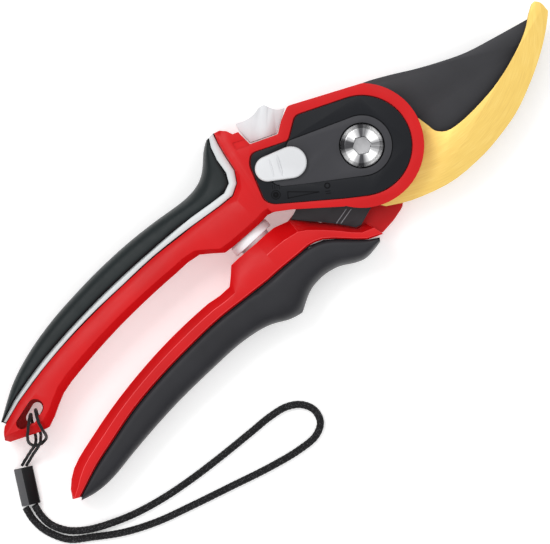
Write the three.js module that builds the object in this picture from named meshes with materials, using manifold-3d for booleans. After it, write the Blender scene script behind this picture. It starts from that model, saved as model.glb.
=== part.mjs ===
// Bypass pruner with a wrist strap, lying closed on its side.
// Millimetres, +Z up. The origin is on the pivot axis, in the plane that the tool lies on.
// +X runs to the blade tips, +Y to the upper handle, which is the fixed body.
import * as THREE from 'three';
import { mergeVertices } from 'three/addons/utils/BufferGeometryUtils.js';
import { LoftGeometry } from 'three/addons/geometries/LoftGeometry.js';
import Module from 'manifold-3d';

const wasm = await Module();
wasm.setup();

// ---------- driving dimensions ----------
const GAP = 0.3;                                  // clearance between neighbouring pieces

// layers through the head, from the nut up to the bolt head
const NUT = { bottom: 0, top: 3.5, acrossFlats: 12.6 };
const WAVE_WASHER = { bottom: 3.8, top: 4.3, outer: 7.4 };
const FLANGE = { bottom: 4.6, top: 7.4, radius: 15.4 };
const BLADE = { bottom: 7.7, top: 10.7 };
const HOOK = { bottom: 11, top: 13.9 };
const HEAD = { bottom: 14.2, top: 20.6, radius: 18.65 };
const COVER = { bottom: 18.9, top: 21, radius: 14.85 };
const PANEL = { bottom: 20.1, top: 20.8, radius: 9 };
const BOLT = { shank: 3.6, head: 6.4, face: 5.2, neck: 19.4, top: 22.5, socket: 5, socketDepth: 2.6 };
const BUSHING = { inner: 3.9, outer: 5.2 };
const PIVOT_BORE = 5.5;                           // radius, in the blade, hook and flange
const HEAD_BORE = 3.9;                            // radius, in the upper handle
const BOLT_WASHER = { outer: 6.6, bottom: 18.2, top: 19.1 };

// handles
const GRIP_TOP = 18.6;                            // height of the grips at the head
const TAIL_DROP = 2.6;                            // how much lower the grips' tops are at the tail
const TAIL_LIFT = 2.8;                            // how far the undersides clear the table there
const SPRING_HEIGHT = 9.3;                        // height of the return spring's axis
const TAIL_X = -138;                              // where both handles end

// the return spring and its cup
const SPRING = { x: -43, outer: 4.2, wire: 1.2, low: -6.4, high: 11.2 };
const CUP = { inner: 4.5, wall: 0.5, rim: 6.9, floor: -7.6, base: 1.2, top: 4.2 };
const RIM_RECESS = { radius: 7.3, depth: 4.7 };    // in the upper handle, for the cup's rim
const SPRING_POCKET = 5.3;                        // radius

// rivets that hold the two blades
const HOOK_SCREWS = [[-26.4, 9.8], [-32.6, 9.8]];
const HOOK_SCREW = { bottom: 7.6, shank: 1.3, head: 1.6 };
const BLADE_SCREWS = [[-14.5, -6.4], [-22.8, -6.6]];
const BLADE_SCREW = { bottom: 4.7, shank: 1.3, head: 2.3 };
const SCREW_HOLE = 1.6;                           // radius

// sliding controls
const WIDTH_SLIDE = new THREE.Vector2(0.875, -0.485).normalize();
const WIDTH_TRAVEL = 6.5;
const WIDTH_AT = new THREE.Vector2(-22.6, 12.4);  // where the slider's neck is at rest
const WIDTH_END = WIDTH_AT.clone().addScaledVector(WIDTH_SLIDE, WIDTH_TRAVEL);
const WIDTH_NECK = 1.5;                           // radius
const LOCK_SLIDE = new THREE.Vector2(-0.911, 0.411).normalize();
const LOCK_TRAVEL = 3.2;
const LOCK = { bottom: 4.2, top: 17.4 };
const LOCK_PLATE = { bottom: 14.5, top: 15.1 };

// wrist strap
const CORD_DIAMETER = 2.3;
const STRING_DIAMETER = 1;
const SLEEVE = { length: 11.4, width: 5.8, height: 4.2 };

// ---------- materials ----------
function finish(color, roughness, metalness = 0) {
  return new THREE.MeshStandardMaterial({ color, roughness, metalness });
}
const RED = finish(0xd9232a, 0.38);
const GRIP_BLACK = finish(0x2a2d2f, 0.75);
const TRIM_WHITE = finish(0xe4e9e9, 0.45);
const COVER_BLACK = finish(0x25272b, 0.5);
const PANEL_GREY = finish(0x46474b, 0.55);
const BUTTON_WHITE = finish(0xf0f1f4, 0.35);
const CUP_GREY = finish(0xd8dadf, 0.45);
const BLADE_BLACK = finish(0x3c3c40, 0.4, 0.6);
const HOOK_GOLD = finish(0xf5d27a, 0.35, 0.9);
const CHROME = finish(0xd4d6d9, 0.2, 1);
const STEEL = finish(0x9a9ca0, 0.4, 1);
const BRONZE = finish(0xa8834c, 0.45, 0.9);
const STRAP_BLACK = finish(0x151516, 0.85);
const SLEEVE_GREY = finish(0x3a3a3d, 0.5);

// ---------- building blocks ----------
const model = new THREE.Group();

function part(name, geometry, material) {
  const mesh = new THREE.Mesh(geometry, material);
  mesh.name = name;
  model.add(mesh);
  return mesh;
}

function solidOf(geometry) {
  const bare = geometry.index ? geometry.toNonIndexed() : geometry.clone();
  bare.deleteAttribute('normal');
  bare.deleteAttribute('uv');
  const merged = mergeVertices(bare, 1e-4);
  const triangles = [];
  const index = merged.index.array;
  for (let i = 0; i < index.length; i += 3) {
    const [a, b, c] = index.subarray(i, i + 3);
    if (a !== b && b !== c && c !== a) triangles.push(a, b, c);
  }
  return new wasm.Manifold(new wasm.Mesh({
    numProp: 3,
    vertProperties: new Float32Array(merged.attributes.position.array),
    triVerts: new Uint32Array(triangles),
  }));
}

function geometryOf(solid) {
  const mesh = solid.getMesh();
  const geometry = new THREE.BufferGeometry();
  geometry.setAttribute('position', new THREE.BufferAttribute(mesh.vertProperties, 3));
  geometry.setIndex(new THREE.BufferAttribute(mesh.triVerts, 1));
  return geometry;
}

function cut(body, ...tools) {
  return geometryOf(tools.reduce((rest, tool) => rest.subtract(solidOf(tool)), solidOf(body)));
}

function joined(...bodies) {
  return geometryOf(bodies.map(solidOf).reduce((whole, next) => whole.add(next)));
}

// A closed outline through hand-set corners. A corner [x, y, r] is rounded by the radius r.
function outline(corners) {
  const shape = new THREE.Shape();
  const count = corners.length;
  corners.forEach(([x, y, r = 0], i) => {
    const corner = new THREE.Vector2(x, y);
    const before = new THREE.Vector2(...corners[(i + count - 1) % count]);
    const after = new THREE.Vector2(...corners[(i + 1) % count]);
    const start = corner.clone().add(before.sub(corner).setLength(r));
    const end = corner.clone().add(after.sub(corner).setLength(r));
    if (i === 0) shape.moveTo(start.x, start.y);
    else shape.lineTo(start.x, start.y);
    if (r > 0) shape.quadraticCurveTo(x, y, end.x, end.y);
  });
  shape.closePath();
  return shape;
}

// A closed outline of smooth stretches: each stretch is a list of points joined by a spline.
function splineOutline(...stretches) {
  const shape = new THREE.Shape();
  stretches.forEach((stretch, i) => {
    const points = stretch.map(([x, y]) => new THREE.Vector2(x, y));
    if (i === 0) shape.moveTo(points[0].x, points[0].y);
    else shape.lineTo(points[0].x, points[0].y);
    shape.splineThru(points.slice(1));
  });
  shape.closePath();
  return shape;
}

function plate(shape, bottom, top, bevel = 0, curveSegments = 8) {
  const geometry = new THREE.ExtrudeGeometry(shape, {
    depth: top - bottom - 2 * bevel,
    bevelEnabled: bevel > 0,
    bevelThickness: bevel,
    bevelSize: bevel,
    bevelOffset: -bevel,
    bevelSegments: 1,
    curveSegments,
  });
  return geometry.translate(0, 0, bottom + bevel);
}

function rod(radius, bottom, top, x = 0, y = 0, sides = 32) {
  const geometry = new THREE.CylinderGeometry(radius, radius, top - bottom, sides);
  return geometry.rotateX(Math.PI / 2).translate(x, y, (bottom + top) / 2);
}

// A turned piece about a vertical axis, from [radius, height] corners.
function turned(profile, sides = 32) {
  const points = profile.map(([r, z]) => new THREE.Vector2(r, z));
  return new THREE.LatheGeometry(points, sides).rotateX(Math.PI / 2);
}

function ring(inner, outer, bottom, top, sides = 32) {
  return turned([[inner, bottom], [outer, bottom], [outer, top], [inner, top], [inner, bottom]], sides);
}

// The tapered stadium around two circles.
function stadium(a, ra, b, rb) {
  const along = new THREE.Vector2(b.x - a.x, b.y - a.y);
  const heading = along.angle();
  const lean = Math.acos((ra - rb) / along.length());
  const shape = new THREE.Shape();
  shape.absarc(b.x, b.y, rb, heading - lean, heading + lean, false);
  shape.absarc(a.x, a.y, ra, heading + lean, heading - lean + 2 * Math.PI, false);
  shape.closePath();
  return shape;
}

// A row of points drawn out into a smooth line, each stretch in the steps that it is given.
function smoothLine(points, steps) {
  const curve = new THREE.CatmullRomCurve3(
    points.map(([x, y]) => new THREE.Vector3(x, y, 0)), false, 'centripetal');
  const line = [curve.getPoint(0)];
  steps.forEach((count, i) => {
    for (let k = 1; k <= count; k += 1) line.push(curve.getPoint((i + k / count) / steps.length));
  });
  return line;
}

// A handle piece is lofted along its stations. Each station pairs a point of the inner line with
// a point of the outer line, and section(a, b) gives the loop of points between the two.
function loftBetween(stations, stepLength, section) {
  const inner = stations.map(([a]) => a);
  const outer = stations.map(([, b]) => b);
  const steps = outer.slice(1).map(([x, y], i) => {
    const reach = Math.max(
      Math.hypot(x - outer[i][0], y - outer[i][1]),
      Math.hypot(inner[i + 1][0] - inner[i][0], inner[i + 1][1] - inner[i][1]));
    return Math.max(1, Math.round(reach / stepLength));
  });
  const a = smoothLine(inner, steps);
  const b = smoothLine(outer, steps);
  const middle = Math.floor(a.length / 2);
  const travel = a[middle + 1].clone().sub(a[middle]);
  const leftHanded = travel.cross(b[middle].clone().sub(a[middle])).z > 0;
  const sections = a.map((point, i) => section(point, b[i]));
  if (leftHanded) sections.forEach((loop) => loop.reverse());
  return new LoftGeometry(sections, { capStart: true, capEnd: true });
}

// How far along the handle a point is: 0 up to the head, 1 at the tail.
function alongHandle(x) {
  return THREE.MathUtils.smoothstep(-x, 36, -TAIL_X);
}

function gripTop(x) {
  return GRIP_TOP - TAIL_DROP * alongHandle(x);
}

// The undersides touch the table near the head and rise clear of the wrist strap behind it.
function underside(x) {
  return TAIL_LIFT * THREE.MathUtils.smoothstep(-x, 48, 70);
}

function between(a, b, share, z) {
  return new THREE.Vector3(a.x + (b.x - a.x) * share, a.y + (b.y - a.y) * share, z);
}

// ---------- outlines of the head ----------
const HEAD_CORNERS = [
  [12.6, 13.7, 0], [-8.3, 23.9, 1], [-12.7, 21.9, 1], [-16.1, 19.6, 0.6], [-24.2, 23.1, 0.4],
  [-24.4, 28.2, 0.3], [-26.1, 28.9, 0.2], [-26.8, 30.9, 0.4], [-28.2, 32, 1], [-30.5, 29, 0.5],
  [-33.5, 3.9, 1], [-28.4, 0.4, 1.5], [-15.6, -10.3, 1],
];
// The head's disc is cut off straight along its upper side, in line with the top edge.
const HEAD_FLAT = [[-8.3, 23.9], [20, 10.1], [24, 18.3], [-4.3, 32.1]];
const COVER_CORNERS = [
  [6.04, 13.57, 0], [-8.5, 20.05, 1.5], [-15, 15.9, 1], [-25.7, 20.7, 1.6],
  [-28.4, 18.5, 1.5], [-32.4, 7.8, 1.4], [-31.2, 5.2, 1.2], [-13.9, -8.4, 2], [-8.3, -12.4, 0],
];
const PANEL_CORNERS = [
  [3.4, 8.33, 0], [-15.2, 16, 0.8], [-27.2, 10.6, 1.4], [-26.1, 7.6, 1.2], [-19.7, 2.8, 2],
  [-5.16, -7.37, 0],
];

// A plate whose open side is closed by a disc about the pivot. The clearance widens it all round.
function roundEndPlate(corners, radius, bottom, top, clearance = 0) {
  const [reach, rise] = [1 + 0.04 * clearance, 1 + 0.07 * clearance];
  const wide = corners.map(([x, y, r]) => [x * reach, y * rise, r]);
  return joined(plate(outline(wide), bottom, top),
    rod(radius + clearance, bottom, top, 0, 0, 64));
}

// ---------- upper handle ----------
// inner line of the red body, outer line of the red body
const UPPER_BODY = [
  [[-25.5, 2.8], [-24.3, 28.2]],
  [[-26.4, 2.1], [-26, 28.9]],
  [[-27.2, 1.5], [-26.7, 30.8]],
  [[-28.6, 0.7], [-28.2, 32.4]],
  [[-29.8, 1.7], [-29.9, 32.8]],
  [[-30.8, 2.3], [-31, 29.8]],
  [[-31.8, 2.9], [-32, 25.4]],
  [[-32.9, 3.5], [-32.8, 20.6]],
  [[-34.8, 4.1], [-34.9, 17.2]],
  [[-38.4, 3.8], [-38.5, 15.2]],
  [[-43.5, 3.9], [-43.8, 15.6]],
  [[-48, 4.1], [-49, 16.3]],
  [[-51.8, 4.5], [-53, 16.8]],
  [[-57.8, 9.3], [-58.5, 17.2]],
  [[-66.8, 10], [-67.5, 18]],
  [[-79.7, 10.2], [-80.5, 18.1]],
  [[-91.8, 9.8], [-92, 18]],
  [[-107.3, 8.3], [-107, 17.1]],
  [[-116, 6.7], [-115.5, 16.1]],
  [[-122.6, 3.5], [-121.5, 15]],
  [[-126, 2.2], [-126, 14.2]],
  [[-132.3, 4.5], [-131, 12.9]],
  [[-137.6, 6.9], [-135.6, 11.5]],
  [[-138.5, 8.3], [-137, 10.4]],
];
// the trim strip's two edges and the grip's outer silhouette
const TRIM_INNER = [
  [-30.2, 33], [-31.2, 29.8], [-32.2, 25.4], [-33, 20.6], [-35.1, 17.3], [-38.5, 15.5],
  [-43.8, 15.9], [-54.8, 17.3], [-68.4, 18.4], [-81.3, 18.4], [-91.1, 18.4], [-101.6, 17.9],
  [-112.7, 16.7], [-120.4, 15.5], [-127.5, 14.1], [-134.6, 12],
];
const TRIM_OUTER = [
  [-32.2, 32.9], [-33.7, 30.4], [-34.9, 26.6], [-35.5, 21.9], [-37, 19.1], [-40, 17.9],
  [-45.7, 18.5], [-56.5, 19.8], [-69.3, 20.4], [-81.6, 20.6], [-91.3, 20.4], [-102.2, 19.7],
  [-113.4, 18.5], [-121.3, 17.1], [-128.3, 15.5], [-135, 13.1],
];
const UPPER_GRIP_OUTER = [
  [-33, 33], [-35.9, 31.3], [-38.3, 28.8], [-41, 26.4], [-44.3, 24.9], [-48.6, 24.3], [-53.5, 24.8],
  [-61.2, 25.8], [-71.5, 26.6], [-82.5, 26.7], [-92.6, 26.2], [-103.8, 25.1], [-115.2, 22.8],
  [-124.6, 19.6], [-131, 16], [-135.5, 13.2],
];

// Heights of the upper handle. Its face is level with the head and drops along the handle.
function upperTop(x) {
  const drop = THREE.MathUtils.smoothstep(-x, 34, 62);
  return HEAD.top - 2.4 * drop - 3.2 * alongHandle(x);
}
function bodyBottom(x) {
  return 1 + underside(x);
}

// Red section: a flat face between two creases, with a sloped margin on each side. Each margin
// is given as [width, drop].
function bodySection(top, bottom, [innerSlope, innerDrop], [outerSlope, outerDrop]) {
  return (a, b) => {
    const width = a.distanceTo(b);
    const first = Math.min(0.45, innerSlope / width);
    const last = 1 - Math.min(0.4, outerSlope / width);
    const high = top((a.x + b.x) / 2);
    const low = bottom((a.x + b.x) / 2);
    return [
      between(a, b, 0, high - innerDrop), between(a, b, first, high),
      between(a, b, last, high), between(a, b, 1, high - outerDrop),
      between(a, b, 1, low + outerDrop), between(a, b, last, low),
      between(a, b, first, low), between(a, b, 0, low + innerDrop),
    ];
  };
}

// Grip section: a flat side against its neighbour and a full, rounded outer side.
function gripSection(roundness, points) {
  return (a, b) => {
    const middle = (gripTop(a.x) + underside(a.x)) / 2;
    const reach = (gripTop(a.x) - underside(a.x)) / 2;
    const loop = [];
    for (let i = 0; i <= points; i += 1) {
      const turn = Math.PI / 2 - (Math.PI * i) / points;
      const out = Math.abs(Math.cos(turn)) ** roundness;
      const up = Math.sign(Math.sin(turn)) * Math.abs(Math.sin(turn)) ** roundness;
      loop.push(between(a, b, out, middle + reach * up));
    }
    return loop;
  };
}

// Trim section: a strip with a low crown on its top and on its underside.
function trimSection(a, b) {
  const top = Math.min(upperTop(a.x) - 0.5, GRIP_TOP);
  const bottom = bodyBottom(a.x) + 0.5;
  return [
    between(a, b, 0, top - 0.3), between(a, b, 0.5, top), between(a, b, 1, top - 0.3),
    between(a, b, 1, bottom + 0.3), between(a, b, 0.5, bottom), between(a, b, 0, bottom + 0.3),
  ];
}

// A line moved towards another one by a gap.
function shifted(line, outer, gap) {
  return line.map(([x, y], i) => {
    const across = new THREE.Vector2(outer[i][0] - x, outer[i][1] - y).setLength(gap);
    return [x + across.x, y + across.y];
  });
}

// Stations from two lines with the same number of points.
const paired = (inner, outer) => inner.map((point, i) => [point, outer[i]]);

// The strap hole is a slot through the handle, under a wider dish in its face.
function strapSlot() {
  return plate(stadium(new THREE.Vector2(-128.2, 7.9), 1.7, new THREE.Vector2(-124.9, 9), 1.6), 0, 22);
}
function strapDish() {
  const dish = stadium(new THREE.Vector2(-131.3, 8.6), 1.7, new THREE.Vector2(-125, 9.4), 2.5);
  return plate(dish, 5, 22);
}

// A shallow guide for the thumb, beside the lock button.
const THUMB_GUIDE = [[-27.9, 27, 0.3], [-28.5, 24.6, 0.3], [-24.6, 22.9, 0.3], [-24.2, 25.3, 0.3]];

// The window that the width slider's neck moves in, through the head and its cover.
function slideWindow() {
  const radius = WIDTH_NECK + 0.5;
  return plate(stadium(WIDTH_AT, radius, WIDTH_END, radius), HEAD.bottom - 1, COVER.top + 1);
}

// The lock button's outline, with its two thumb hollows, moved along its slide.
function lockOutline(travel = 0, margin = 0) {
  const corners = [
    [-16.1, 20.1, 0.3], [-9.2, 24, 0.3], [-11.2, 25, 1.2], [-12.3, 26.8, 1], [-13.1, 29, 0.5],
    [-14.9, 29.4, 0.8], [-16.7, 28.9, 1], [-19.8, 29, 1.6], [-23.2, 30.6, 0.3], [-23.8, 28.4, 0.5],
    [-23.8, 23.5, 0.3],
  ];
  const middle = new THREE.Vector2(-17, 25);
  return outline(corners.map(([x, y, r]) => {
    const out = new THREE.Vector2(x, y).sub(middle).setLength(margin);
    return [x + out.x + LOCK_SLIDE.x * travel, y + out.y + LOCK_SLIDE.y * travel, r];
  }));
}

function makeUpperHandle() {
  const bar = loftBetween(UPPER_BODY, 4, (a, b) => bodySection(
    upperTop, bodyBottom, [1.8 + alongHandle(a.x), 2.2], [2 + 0.5 * alongHandle(a.x), 1])(a, b));
  const head = cut(roundEndPlate(HEAD_CORNERS, HEAD.radius, HEAD.bottom, HEAD.top),
    plate(outline(HEAD_FLAT), HEAD.bottom - 1, HEAD.top + 1));
  const thumbGuide = plate(outline(THUMB_GUIDE), HEAD.top - 0.5, HEAD.top + 1);
  const coverRecess = roundEndPlate(
    COVER_CORNERS, COVER.radius, COVER.bottom - GAP, HEAD.top + 2, GAP);
  const washerSeat = rod(BOLT_WASHER.outer + GAP, BOLT_WASHER.bottom - GAP, 22);
  const tangPocket = plate(outline([
    [-23, 5.5, 1], [-36.6, 5.5, 1], [-36.6, 14.4, 1], [-23, 14.4, 1],
  ]), HOOK.bottom - GAP, HOOK.top + GAP);
  const { radius, depth } = RIM_RECESS;
  const springPocket = turnedOnSpring([
    [0, 1], [radius, 1], [radius, depth], [SPRING_POCKET, depth], [SPRING_POCKET, 12.6], [0, 12.6],
  ], 32);
  const lockChannel = [0, 0.5, 1].map((share) => plate(
    lockOutline(LOCK_TRAVEL * share, 0.45), LOCK.bottom - 0.4, LOCK.top + 0.4));
  const platePocket = plate(outline([
    [-33, 2.6], [-16.5, 2.6], [-16.5, 20], [-24, 23.4], [-28, 25.2], [-33, 25.2],
  ]), LOCK_PLATE.bottom - GAP, LOCK_PLATE.top + GAP);
  return cut(
    joined(bar, head), coverRecess, washerSeat, rod(HEAD_BORE, 10, 22), tangPocket,
    springPocket, ...lockChannel, platePocket, slideWindow(), thumbGuide, strapSlot(), strapDish(),
    ...HOOK_SCREWS.map(([x, y]) => rod(HOOK_SCREW.head + GAP, 0, HOOK.bottom, x, y, 16)),
  );
}

// ---------- cutting parts ----------

function makeHook() {
  const crescent = splineOutline(
    [[67.4, -3.6], [68.5, -5.2], [68.5, -7.6], [67.9, -9.1], [62.5, -13.4], [56.7, -17.1],
      [49.7, -20.7], [41.1, -24.2], [32.7, -26], [24.1, -26.9], [12.5, -26.3], [0.6, -22.5],
      [-7, -18.2]],
    [[-14, -8], [-12, 6], [0, 13], [12, 9], [18.2, -6]],
    [[18.8, -9.4], [19.4, -12], [22.4, -14.4], [29.1, -15.1], [38.6, -14.5], [45.1, -13.3],
      [50.9, -11.6], [56.5, -9.5], [60.6, -7.3], [63, -5.5], [66.2, -3.6]],
  );
  const tang = plate(outline([
    [-6, 0], [-6, 13.5, 3], [-22, 14, 2], [-36.2, 14, 3], [-36.2, 5.9, 3], [-22, 5.9, 2], [-12, -4],
  ]), HOOK.bottom, HOOK.top);
  const holes = HOOK_SCREWS.map(([x, y]) => rod(SCREW_HOLE, 0, 20, x, y, 16));
  return cut(joined(plate(crescent, HOOK.bottom, HOOK.top, 0, 3), tang),
    rod(PIVOT_BORE, 0, 20), ...holes);
}

// The blade's full thickness stops at the grind line. From there it thins to its edge.
const GRIND_LINE = [
  [62, -6.6], [58, -10.2], [51, -13.6], [43, -16.6], [34, -18.4], [25, -18.6], [16.5, -16.2],
];
const BLADE_EDGE = [
  [63.2, -6.9], [59, -12.4], [51.5, -16.2], [43, -19.2], [34, -21], [25, -21.3], [15.3, -18.6],
];

function makeBlade() {
  const back = [
    [62.4, -6.1], [51.9, -3.5], [42.3, -0.9], [35, 2.2], [27.6, 5.9], [21.7, 9.3], [15.7, 12.5],
    [12.7, 13.8],
  ];
  const heel = [[10, 14.2], [0, 15.2], [-10, 11], [-19, 3.6], [-28, -0.7]];
  const tang = [[-30.6, -1.6], [-26.4, -6.3], [-21.6, -11.7], [-17.8, -16.8]];
  const front = [[-16, -17.2], [-6, -14.4], [4, -14], [11, -14.6]];
  const spine = plate(
    splineOutline(back, heel, tang, front, [...GRIND_LINE].reverse()), BLADE.bottom, BLADE.top, 0, 3);
  const wedge = loftBetween(
    paired(shifted(GRIND_LINE, BLADE_EDGE, -0.4), BLADE_EDGE), 4, (a, b) => [
      between(a, b, 0, BLADE.top), between(a, b, 1, BLADE.top),
      between(a, b, 1, BLADE.top - 0.25), between(a, b, 0, BLADE.bottom),
    ]);
  const holes = BLADE_SCREWS.map(([x, y]) => rod(SCREW_HOLE, 0, BLADE.top - 0.8, x, y, 16));
  return cut(joined(spine, wedge), rod(PIVOT_BORE, 0, 20), ...holes);
}

function makeCountersunkScrew([x, y], { bottom, shank, head }, top) {
  const profile = [[0, bottom], [head, bottom], [head, bottom + 0.5], [shank, bottom + 1.6],
    [shank, top], [0, top]];
  return turned(profile, 16).translate(x, y, 0);
}

// ---------- lower handle ----------
// foot of the inner slope, lip, outer edge of the red body, grip silhouette
const LOWER_BODY = [
  [[-14.8, -17.9], [-13.3, -23.7]],
  [[-17.8, -16.9], [-17.6, -21.9]],
  [[-21.8, -12], [-22.6, -17.2]],
  [[-26.6, -6.6], [-27.6, -12.7]],
  [[-31.2, -1.6], [-32, -11.1]],
  [[-36, -0], [-37, -10.9]],
  [[-43, 0.2], [-43.2, -10.5]],
  [[-49.8, 0.5], [-48.2, -10.4]],
  [[-53, 0.5], [-53, -10]],
  [[-57.8, -3.9], [-58, -9.6]],
  [[-66, -3.2], [-66, -8.9]],
  [[-78.8, -3.1], [-78.6, -9]],
  [[-91.3, -3.9], [-91, -9.7]],
  [[-105.1, -5.8], [-103.8, -11.3]],
  [[-117.6, -8.5], [-115, -13.9]],
  [[-129, -11.9], [-123.5, -16]],
  [[-134, -15.8], [-129.5, -18.2]],
  [[-135.7, -18.4], [-133.4, -19.6]],
];
const LOWER_GRIP_INNER = [
  [-15, -24], [-17.9, -22.2], [-22.7, -17.6], [-27.8, -13.1], [-32.1, -11.4], [-37, -11.2],
  [-43.2, -10.8], [-48.2, -10.7], [-53, -10.3], [-58, -9.9], [-66, -9.2], [-78.6, -9.3], [-91, -10],
  [-103.7, -11.6], [-114.9, -14.2], [-123.4, -16.3], [-129.5, -18.5], [-133.2, -19.9],
];
const LOWER_GRIP_OUTER = [
  [-15.6, -24.9], [-21.3, -25.9], [-25.8, -24.2], [-29.8, -21.7], [-34.3, -20.6], [-38.6, -20.8],
  [-42.8, -22.2], [-47, -24.7], [-51, -23.8], [-56.5, -20.6], [-66, -18.7], [-78.5, -18.5],
  [-91, -18.7], [-103, -19.6], [-114, -20.9], [-122.5, -22.1], [-129.8, -21.8], [-134, -20.5],
];

function lowerTop(x) {
  return 17.8 - 3 * alongHandle(x);
}

function makeLowerHandle() {
  // The inner slope falls steeply towards the blade's tang and gently along the handle.
  const slope = (x) => THREE.MathUtils.lerp(7, 1.7, THREE.MathUtils.smoothstep(-x, 24, 46));
  const bar = loftBetween(LOWER_BODY, 4, (a, b) => bodySection(
    lowerTop, bodyBottom, [Math.max(0.5, a.distanceTo(b) - 2), slope(a.x)], [0.6, 0.5])(a, b));
  const flange = plate(outline([
    [-2.2, -21.5, 2], [-8, -22.9, 1], [-13.4, -23.4, 1], [-28, -12, 1], [-38, -4, 1], [-33, -1.6, 2],
    [-26, -0.6, 3], [-12, 8, 6], [0, 12],
  ]), FLANGE.bottom, FLANGE.top, 0, 4);
  const disc = rod(FLANGE.radius, FLANGE.bottom, FLANGE.top, 0, 0, 48);
  const springPocket = turnedOnSpring([[0, -8], [SPRING_POCKET, -8], [SPRING_POCKET, 2.4], [0, 2.4]], 24);
  const bladeSeat = makeBladeSeat();
  return cut(
    joined(bar, flange, disc), bladeSeat, rod(PIVOT_BORE, 0, 10), springPocket,
    ...BLADE_SCREWS.map(([x, y]) => rod(BLADE_SCREW.head + GAP, 0, FLANGE.top + 1, x, y, 16)),
  );
}

// The space that the blade's tang takes out of the lower handle.
function makeBladeSeat() {
  return plate(outline([
    [-31.3, -1, 0.5], [-26.6, -6.9, 0], [-21.8, -12.3, 0], [-17.9, -17.5, 0.5], [-14, -17.8, 0],
    [0, -26, 0], [10, 20, 0], [-28, 3, 0],
  ]), BLADE.bottom - GAP, 22);
}

// ---------- spring and cup ----------
// A piece turned about the spring's axis, from [radius, y] corners.
function turnedOnSpring(profile, sides = 32) {
  const points = profile.map(([r, y]) => new THREE.Vector2(r, y));
  return new THREE.LatheGeometry(points, sides).translate(SPRING.x, 0, SPRING_HEIGHT);
}

function makeSpringCup() {
  const outer = CUP.inner + CUP.wall;
  const floor = CUP.floor + 0.8;
  return turnedOnSpring([
    [0, CUP.floor], [outer, CUP.floor], [outer, CUP.base], [CUP.rim, CUP.base],
    [CUP.rim, CUP.top - 0.7], [CUP.rim - 0.5, CUP.top], [CUP.inner, CUP.top],
    [CUP.inner, floor], [0, floor],
  ]);
}

// The plain seat at the far end of the upper handle's pocket.
function makeSpringSeat() {
  const radius = SPRING_POCKET - GAP;
  const near = SPRING.high + GAP;
  const far = near + 0.8;
  return turnedOnSpring([[0, near], [radius, near], [radius, far], [0, far]]);
}

function makeReturnSpring() {
  const inner = SPRING.outer - SPRING.wire;
  return turnedOnSpring([[inner, SPRING.low], [SPRING.outer, SPRING.low],
    [SPRING.outer, SPRING.high], [inner, SPRING.high], [inner, SPRING.low]], 24);
}

// ---------- pivot ----------
function hexagon(acrossFlats) {
  const shape = new THREE.Shape();
  for (let i = 0; i < 6; i += 1) {
    const turn = Math.PI / 6 + (Math.PI * i) / 3;
    const reach = acrossFlats / Math.sqrt(3);
    const step = [reach * Math.cos(turn), reach * Math.sin(turn)];
    if (i === 0) shape.moveTo(...step);
    else shape.lineTo(...step);
  }
  shape.closePath();
  return shape;
}

function makePivotBolt() {
  const profile = [[0, 1.2], [BOLT.shank, 1.2], [BOLT.shank, BOLT.neck], [BOLT.head, BOLT.neck],
    [BOLT.head, BOLT.top - 1.1], [BOLT.face, BOLT.top], [0, BOLT.top]];
  const body = turned(profile, 40);
  const socket = plate(hexagon(BOLT.socket), BOLT.top - BOLT.socketDepth, BOLT.top + 1);
  return cut(body, socket);
}

function makePivotNut() {
  const hex = plate(hexagon(NUT.acrossFlats), NUT.bottom, NUT.top, 0.5);
  return cut(hex, rod(BOLT.shank + GAP, 0.9, NUT.top + 1, 0, 0, 24));
}

// ---------- sliding controls ----------
function makeWidthSlider() {
  const button = plate(
    stadium(new THREE.Vector2(-25.5, 14), 3.8, new THREE.Vector2(-19.1, 10.7), 4.8),
    COVER.top + 0.2, COVER.top + 1.7, 0.5, 20);
  const neck = rod(WIDTH_NECK, HEAD.bottom + 1.2, COVER.top + 0.8, WIDTH_AT.x, WIDTH_AT.y, 20);
  return joined(button, neck);
}

// The steel plate behind the lock button, with the tooth that catches the blade's tang.
function makeLockPlate() {
  return plate(outline([
    [-17.2, 19.8, 0.3], [-23.4, 22.6, 0.3], [-24.6, 12, 2], [-28.6, 7, 1], [-28.4, 4, 0.5],
    [-25.6, 4, 0.5], [-22, 9, 2], [-18.4, 12, 2],
  ]), LOCK_PLATE.bottom, LOCK_PLATE.top);
}

// ---------- wrist strap ----------
// Both routes are hand-set points in millimetres: out of the sleeve, round and back.
const CORD_ROUTE = [
  [-145.6, -11.9, 1.7], [-146.3, -15.4, 1.25], [-146, -19.6, 1.25], [-143.6, -24.2, 1.25],
  [-139.2, -28.1, 1.25], [-133, -31.4, 1.25], [-125, -34.5, 1.25], [-116, -36.8, 1.25],
  [-106, -38.4, 1.25], [-95, -39.5, 1.25], [-83.5, -40.3, 1.25], [-75.7, -40.8, 1.25],
  [-70, -42, 1.25], [-66.2, -44.6, 1.25], [-64.5, -48.4, 1.25], [-65.6, -52.3, 1.25],
  [-69.4, -54.4, 1.25], [-76, -54.1, 1.25], [-86, -51.9, 1.25], [-98.8, -48.1, 1.25],
  [-111.4, -44.3, 1.25], [-122, -40.8, 1.25], [-131.3, -36.4, 1.25], [-139.4, -30.9, 1.25],
  [-145.2, -26.4, 1.25], [-148.4, -19.9, 1.25], [-148.9, -14.9, 1.25], [-148.1, -10.6, 1.7],
];
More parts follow.
